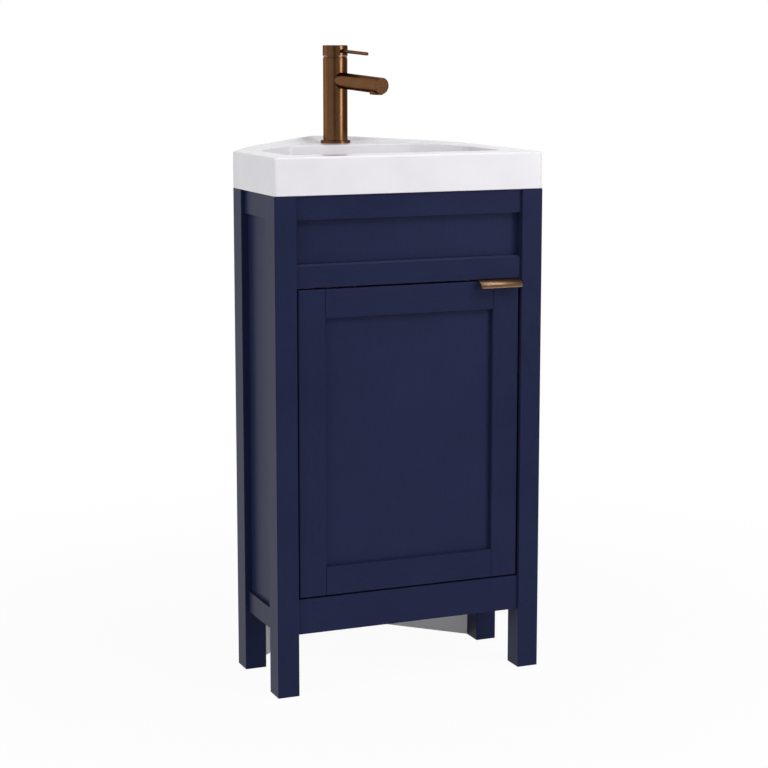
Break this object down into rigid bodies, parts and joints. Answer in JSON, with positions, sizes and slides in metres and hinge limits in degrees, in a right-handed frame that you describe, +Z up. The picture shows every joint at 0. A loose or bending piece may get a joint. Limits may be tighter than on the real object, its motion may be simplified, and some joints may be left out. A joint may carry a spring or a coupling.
{
  "type": "corner vanity unit",
  "caption": "Corner vanity unit: a painted shaker cabinet with a hinged door under a corner basin with a push-down waste and a pin-lever mixer tap.",
  "frame": {"origin": "centre of the whole unit's bounding box in plan, on the floor", "axes": "+X to the right along the front, +Y from the door towards the room's corner, +Z up"},
  "size_m": [0.46, 0.4244, 1.0283],
  "materials": {
    "navy_paint": "satin navy paint on a brushed primer",
    "board": "matt light-grey faced board",
    "timber": "bare softwood",
    "zinc_steel": "nickel and zinc plated",
    "plastic": "moulded",
    "bronze": "brushed bronze",
    "ceramic": "gloss white glaze",
    "rubber": "soft black"
  },
  "bodies": {
    "cabinet": {"leg_front_left": "navy_paint", "leg_front_right": "navy_paint", "leg_back_left": "navy_paint", "leg_back_right": "navy_paint", "front_top_rail": "navy_paint", "front_mid_rail": "navy_paint", "front_bottom_rail": "navy_paint", "false_drawer_panel": "navy_paint", "side_top_rail_left": "navy_paint", "side_top_rail_right": "navy_paint", "side_bottom_rail_left": "navy_paint", "side_bottom_rail_right": "navy_paint", "side_panel_left": "navy_paint", "side_panel_right": "navy_paint", "wall_panel_left": "board", "wall_panel_right": "board", "corner_batten": "timber", "wall_spacers": "board", "cabinet_floor": "board", "floor_cleats": "timber", "rail_dowels": "timber", "shelf": "board", "shelf_pins": "zinc_steel", "hinge_strip": "navy_paint", "hinge_plates": "zinc_steel", "hinge_arms": "zinc_steel", "hinge_plate_screws": "zinc_steel", "door_stop": "navy_paint", "door_bumpers": "plastic", "basin": "ceramic", "waste_body": "bronze", "waste_seal": "rubber", "waste_nut": "zinc_steel", "tap_base_ring": "bronze", "tap_body": "bronze", "tap_spout": "bronze", "tap_aerator": "bronze", "tap_cartridge": "plastic", "tap_shank": "zinc_steel", "tap_rubber_washer": "rubber", "tap_steel_washer": "zinc_steel", "tap_nut": "zinc_steel"},
    "door": {"door_stile_left": "navy_paint", "door_stile_right": "navy_paint", "door_rail_top": "navy_paint", "door_rail_bottom": "navy_paint", "door_panel": "navy_paint", "door_pull": "bronze", "door_pull_screws": "zinc_steel", "hinge_cups": "zinc_steel", "hinge_pins": "zinc_steel", "hinge_cup_screws": "zinc_steel"},
    "waste_stopper": {"waste_plug": "bronze"},
    "tap_turner": {"tap_carrier": "bronze", "tap_handle_pin": "zinc_steel"},
    "tap_handle": {"tap_cap": "bronze", "tap_lever": "bronze", "tap_grub_screw": "zinc_steel"}
  },
  "joints": [
    {"name": "door_swing", "type": "hinge", "parent": "cabinet", "child": "door", "pos_m": [-0.177, -0.18575, 0.4065], "axis": [0, 0, -1], "range_deg": [0, 105]},
    {"name": "waste_pop", "type": "slide", "parent": "cabinet", "child": "waste_stopper", "axis": [0, 0, 1], "range_m": [0, 0.007]},
    {"name": "tap_swivel", "type": "hinge", "parent": "cabinet", "child": "tap_turner", "pos_m": [0, 0.13525, 1.0093], "axis": [0, 0, 1], "range_deg": [-45, 45]},
    {"name": "tap_lift", "type": "hinge", "parent": "tap_turner", "child": "tap_handle", "pos_m": [-0.00327, 0.14835, 1.0093], "axis": [-0.9703, -0.2419, 0], "range_deg": [0, 20]}
  ]
}
